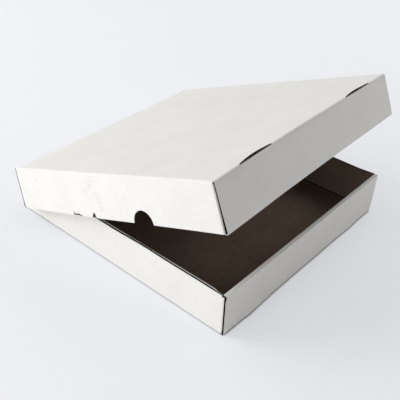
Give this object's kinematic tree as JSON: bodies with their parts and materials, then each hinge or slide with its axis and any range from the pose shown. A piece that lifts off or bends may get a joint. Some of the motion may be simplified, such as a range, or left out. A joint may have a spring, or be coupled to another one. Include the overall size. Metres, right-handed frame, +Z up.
{
  "type": "pizza box",
  "caption": "Shallow folded corrugated-board box with a hinged lid that closes over the tray, rolled-over front walls and thumb notches, for carrying a pizza.",
  "frame": {"origin": "on the table under the middle of the tray", "axes": "+Z up, front towards -Y, hinge along X at the rear"},
  "size_m": [0.27, 0.2762, 0.154],
  "materials": {
    "board": "matt"
  },
  "bodies": {
    "tray": {"tray": "board"},
    "lid": {"lid": "board"}
  },
  "joints": [
    {"name": "lid_hinge", "type": "hinge", "parent": "tray", "child": "lid", "pos_m": [0, 0.13737, 0.04777], "axis": [-1, 0, 0], "range_deg": [-22.2, 157.8]}
  ]
}
